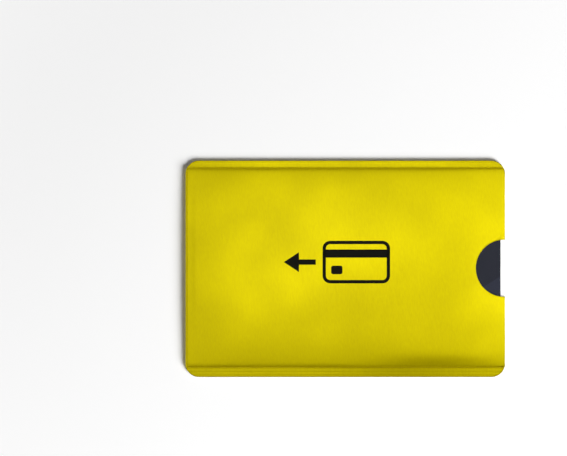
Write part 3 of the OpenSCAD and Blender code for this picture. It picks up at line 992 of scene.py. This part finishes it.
def magnetic_lacquer():
    """Iron oxide in lacquer, hot stamped. It is a deep brown black with fine lines along
    the card, where heads have run."""
    finish = bpy.context.scene.card_finish
    material, tree, surface = new_material("oxide_lacquer_hot_stamped", {"IOR": 1.52})
    # Head tracks: drawn 0.15 mm wide, about three times as wide as the real ones
    tracks = relief(tree, surface, (14.0, 0.15, 0.15), 0.0015)
    gloss(tree, surface, tracks, 0.24, 0.40)
    shade(tree, surface, tracks, finish.stripe_deep, finish.stripe)
    return material


def writing_panel():
    """Chalky lacquer, screen printed, to write on. It is matt white under slanting lines."""
    finish = bpy.context.scene.card_finish
    material, tree, surface = new_material("writing_lacquer_screen_printed", {"IOR": 1.5})
    # Chalk grains are about 0.02 mm: drawn at 0.12 mm
    chalk = relief(tree, surface, (0.12, 0.12, 0.12), 0.006)
    gloss(tree, surface, chalk, 0.74, 0.90)
    # Printed lines are 0.9 mm apart. The node turns its wave by 10 times scale and place,
    # and along a diagonal by as much for X as for Y.
    place = add(tree, "ShaderNodeTexCoord").outputs["Object"]
    scale = 2 * math.pi / (10 * math.sqrt(2) * PANEL_PITCH * MM)
    bands = {"bands_direction": "DIAGONAL", "Scale": scale, "Distortion": 0.0}
    lines = add(tree, "ShaderNodeTexWave", bands, {"Vector": place}).outputs["Fac"]
    thin = add(tree, "ShaderNodeMapRange", {"From Min": 0.75, "From Max": 0.9}, {"Value": lines})
    shade(tree, surface, thin.outputs[0], finish.panel, finish.panel_line)
    return material


# Stage


def lay_floor():
    """Floor: matte and pale. The camera sees it lighter than the object does, so that it is
    white where it is lit and keeps the object's shadow. Further off it is plain white to
    the camera and to metal, as the background is."""
    studio = bpy.context.scene.sleeve_studio
    material = bpy.data.materials.new("floor_matte_pale")
    material.use_nodes = True
    tree = material.node_tree
    tree.nodes.clear()
    path = add(tree, "ShaderNodeLightPath").outputs
    pale = {"data_type": "RGBA", 6: tuple(studio.floor), 7: [FLOOR_LIFT] * 3 + [1]}
    lift = add(tree, "ShaderNodeMix", pale, {0: path["Is Camera Ray"]})
    matte = add(tree, "ShaderNodeBsdfDiffuse", {}, {"Color": lift.outputs[2]})
    white = add(tree, "ShaderNodeEmission", {"Color": (1, 1, 1, 1), "Strength": 1.0})
    place = add(tree, "ShaderNodeTexCoord").outputs["Object"]
    away = add(tree, "ShaderNodeVectorMath", {"operation": "LENGTH"}, {0: place})
    limits = {"interpolation_type": "SMOOTHSTEP", "From Min": FLOOR_NEAR, "From Max": FLOOR_FAR}
    far = add(tree, "ShaderNodeMapRange", limits, {"Value": away.outputs["Value"]})
    rays = {0: path["Is Camera Ray"], 1: path["Is Glossy Ray"]}
    seen = add(tree, "ShaderNodeMath", {"operation": "MAXIMUM"}, rays)
    both = {0: seen.outputs[0], 1: far.outputs[0]}
    share = add(tree, "ShaderNodeMath", {"operation": "MULTIPLY"}, both)
    parts = {0: share.outputs[0], 1: matte.outputs[0], 2: white.outputs[0]}
    surface = add(tree, "ShaderNodeMixShader", {}, parts)
    add(tree, "ShaderNodeOutputMaterial", {}, {"Surface": surface.outputs[0]})

    mesh = bpy.data.meshes.new("floor")
    signs = ((-1, -1), (1, -1), (1, 1), (-1, 1))
    corners = [(FLOOR_HALF * x, FLOOR_HALF * y, -FLOOR_UNDER * MM) for x, y in signs]
    mesh.from_pydata(corners, [], [(0, 1, 2, 3)])
    mesh.materials.append(material)
    floor = bpy.data.objects.new("floor", mesh)
    bpy.context.scene.collection.objects.link(floor)


def hang_lamps():
    """Lamps: soft boxes that all face the sleeve."""
    studio = bpy.context.scene.sleeve_studio
    for name, place, size, radiance, in_metal, on_matte in LAMPS:
        lamp = bpy.data.lights.new(name, "AREA")
        lamp.shape = "RECTANGLE"
        lamp.size, lamp.size_y = size
        lamp.energy = radiance * math.pi * size[0] * size[1] * studio.brightness
        holder = bpy.data.objects.new(name, lamp)
        holder.location = place
        holder.rotation_euler = (-Vector(place)).to_track_quat("-Z", "Y").to_euler()
        holder.visible_glossy = in_metal
        holder.visible_diffuse = on_matte
        bpy.context.scene.collection.objects.link(holder)


def set_surroundings():
    """Surroundings: white to the camera, an even faint light to matte surfaces, and to
    metal a studio that goes from a white skyline to a dark ceiling."""
    studio = bpy.context.scene.sleeve_studio
    world = bpy.data.worlds.new("studio")
    bpy.context.scene.world = world
    world.use_nodes = True
    tree = world.node_tree
    tree.nodes.clear()
    direction = add(tree, "ShaderNodeTexCoord").outputs["Generated"]
    parts = add(tree, "ShaderNodeSeparateXYZ", {}, {"Vector": direction})
    dome = add(tree, "ShaderNodeValToRGB", {}, {"Fac": parts.outputs["Z"]})
    warm = np.array(studio.walls_tint)
    stops = dome.color_ramp.elements
    while len(stops) < len(DOME):
        stops.new(1.0)
    for stop, (level, part, warmth) in zip(stops, DOME):
        stop.position = level
        stop.color = getattr(studio, part) * (1 - warmth + warmth * warm)
    path = add(tree, "ShaderNodeLightPath").outputs
    even = {"data_type": "RGBA", 6: [studio.fill] * 3 + [1]}
    lit = add(tree, "ShaderNodeMix", even, {0: path["Is Glossy Ray"], 7: dome.outputs["Color"]})
    white = {"data_type": "RGBA", 7: (1, 1, 1, 1)}
    seen = add(tree, "ShaderNodeMix", white, {0: path["Is Camera Ray"], 6: lit.outputs[2]})
    back = add(tree, "ShaderNodeBackground", {"Strength": 1.0}, {"Color": seen.outputs[2]})
    add(tree, "ShaderNodeOutputWorld", {}, {"Surface": back.outputs[0]})


def set_camera():
    """Camera: a long lens straight above, on the photograph's own frame."""
    camera = bpy.data.cameras.new("camera")
    camera.lens, camera.sensor_width = LENS, SENSOR
    camera.clip_end = 10
    eye = bpy.data.objects.new("camera", camera)
    height = VIEW_W * MM * LENS / SENSOR + VIEW_Z * MM
    eye.location = (VIEW_X * MM, VIEW_Y * MM, height)
    bpy.context.scene.collection.objects.link(eye)
    bpy.context.scene.camera = eye


# Operators


class SLEEVE_OT_film(bpy.types.Operator):
    """Builds the metallised film, which wraps the sleeve on its outside"""

    bl_idname = "sleeve.film"
    bl_label = "Outer film"

    def execute(self, context):
        nodes = ("front_film", "rear_film", "fold_film")
        film = laminate_sheet("outer_film", 0, FILM_T, metallised_film(), nodes)
        return {"FINISHED"}


class SLEEVE_OT_foil(bpy.types.Operator):
    """Builds the foil between the film and the liner, which keeps radio waves out"""

    bl_idname = "sleeve.foil"
    bl_label = "Shielding foil"

    def execute(self, context):
        nodes = ("front_foil", "rear_foil", "fold_foil")
        foil = laminate_sheet("shielding_foil", FILM_T, FOIL_T, rolled_foil(), nodes)
        return {"FINISHED"}


class SLEEVE_OT_liner(bpy.types.Operator):
    """Builds the paper liner, on which the card slides"""

    bl_idname = "sleeve.liner"
    bl_label = "Paper liner"

    def execute(self, context):
        nodes = ("front_liner", "rear_liner", "fold_liner")
        liner = laminate_sheet("paper_liner", FILM_T + FOIL_T, LINER_T, liner_paper(), nodes)
        return {"FINISHED"}


class SLEEVE_OT_seals(bpy.types.Operator):
    """Builds the hot-melt beads that close the two long sides"""

    bl_idname = "sleeve.seals"
    bl_label = "Heat seals"

    def execute(self, context):
        melt = hot_melt()
        seal_bead("upper_bead", True, melt, "upper_seal")
        seal_bead("lower_bead", False, melt, "lower_seal")
        return {"FINISHED"}


class SLEEVE_OT_sign(bpy.types.Operator):
    """Prints the plain sign on the film: a card and the way it goes in"""

    bl_idname = "sleeve.sign"
    bl_label = "Printed sign"

    def execute(self, context):
        form = context.scene.sleeve_form
        points, faces = join(printed_strip(*shape, form) for shape in sign_shapes())
        sign = make_mesh("printed_sign", points, faces, screen_ink())
        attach(sign, "sleeve")
        return {"FINISHED"}


class SLEEVE_OT_card(bpy.types.Operator):
    """Finishes the card's laminated layers, its printed faces and its aerial"""

    bl_idname = "sleeve.card"
    bl_label = "Card"

    def execute(self, context):
        finish = context.scene.card_finish
        name = "offset_print_under_overlay"
        dark, light = finish.print_dark, finish.print_light
        dress("front_overlay", card_face(f"{name}_dark", dark, light, FRONT_FACETS))
        dark, light = finish.back, finish.back_light
        dress("rear_overlay", card_face(f"{name}_pale", dark, light, BACK_FACETS))
        core = card_core()
        dress("card_front_sheet", core)
        dress("card_rear_sheet", core)
        dress("antenna_inlay", card_inlay())
        dress("antenna_coil", etched_coil())
        return {"FINISHED"}


class SLEEVE_OT_chip(bpy.types.Operator):
    """Builds the contacts with their etched gaps and finishes the resin over the chip"""

    bl_idname = "sleeve.chip"
    bl_label = "Chip module"

    def execute(self, context):
        finish = context.scene.card_finish
        middle = np.array([(plate_low.x + plate_high.x) / 2, (plate_low.y + plate_high.y) / 2])
        tape = rounded_box(CONTACTS_W, CONTACTS_H, CONTACTS_ROUND) + middle
        ground, top = plate_low.z, plate_high.z
        base = top - CONTACT_T
        tiles = [tile(tape, ground, base, CONTACT_BEVEL / 2)]
        for field in contact_fields():
            tiles.append(tile(np.array(field) + middle, base, top, CONTACT_BEVEL))
        points, faces = join(tiles)
        plate = make_mesh("contact_fields", points, faces, plated_contact(), CONTACT_SHARP)
        bare = potting_resin("epoxy_glass_tape_bare", 0.5, finish.groove_deep, finish.groove)
        plate.data.materials.append(bare)
        for face in plate.data.polygons:
            face.material_index = int(face.index < len(tiles[0][1]))
        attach(plate, "card")
        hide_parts("contact_plate")
        tones = finish.resin_deep, finish.resin
        dress("chip_capsule", potting_resin("epoxy_resin_poured_black", 0.45, *tones))
        return {"FINISHED"}


class SLEEVE_OT_back(bpy.types.Operator):
    """Finishes the magnetic stripe and the writing panel on the card's back"""

    bl_idname = "sleeve.back"
    bl_label = "Card's back"

    def execute(self, context):
        dress("magnetic_stripe", magnetic_lacquer())
        dress("signature_panel", writing_panel())
        return {"FINISHED"}


class SLEEVE_OT_stage(bpy.types.Operator):
    """Sets the floor, the lamps, the surroundings and the camera"""

    bl_idname = "sleeve.stage"
    bl_label = "Stage"

    def execute(self, context):
        context.scene.view_settings.view_transform = "Standard"
        lay_floor()
        hang_lamps()
        set_surroundings()
        set_camera()
        return {"FINISHED"}


class SLEEVE_PT_panel(bpy.types.Panel):
    """Lists the sleeve's pieces and their sizes and colours"""

    bl_idname = "SLEEVE_PT_panel"
    bl_label = "Card Sleeve"
    bl_space_type = "VIEW_3D"
    bl_region_type = "UI"
    bl_category = "Sleeve"

    def draw(self, context):
        for step in STEPS:
            self.layout.operator(step.bl_idname)
        for group in GROUPS:
            box = self.layout.box()
            box.label(text=group)
            settings = getattr(context.scene, group)
            for name in settings.__annotations__:
                box.prop(settings, name)


GROUPS = {
    "sleeve_form": SLEEVE_PG_form,
    "sleeve_finish": SLEEVE_PG_finish,
    "card_finish": CARD_PG_finish,
    "sleeve_studio": SLEEVE_PG_studio,
}
STEPS = (
    SLEEVE_OT_stage,
    SLEEVE_OT_film,
    SLEEVE_OT_foil,
    SLEEVE_OT_liner,
    SLEEVE_OT_seals,
    SLEEVE_OT_sign,
    SLEEVE_OT_card,
    SLEEVE_OT_chip,
    SLEEVE_OT_back,
)


def register():
    for group in (*GROUPS.values(), *STEPS, SLEEVE_PT_panel):
        bpy.utils.register_class(group)
    for name, group in GROUPS.items():
        setattr(bpy.types.Scene, name, PointerProperty(type=group))


def unregister():
    for name in GROUPS:
        delattr(bpy.types.Scene, name)
    for group in reversed((*GROUPS.values(), *STEPS, SLEEVE_PT_panel)):
        bpy.utils.unregister_class(group)


def main():
    register()
    for step in STEPS:
        section, name = step.bl_idname.split(".")
        getattr(getattr(bpy.ops, section), name)()


if __name__ == "__main__":
    main()
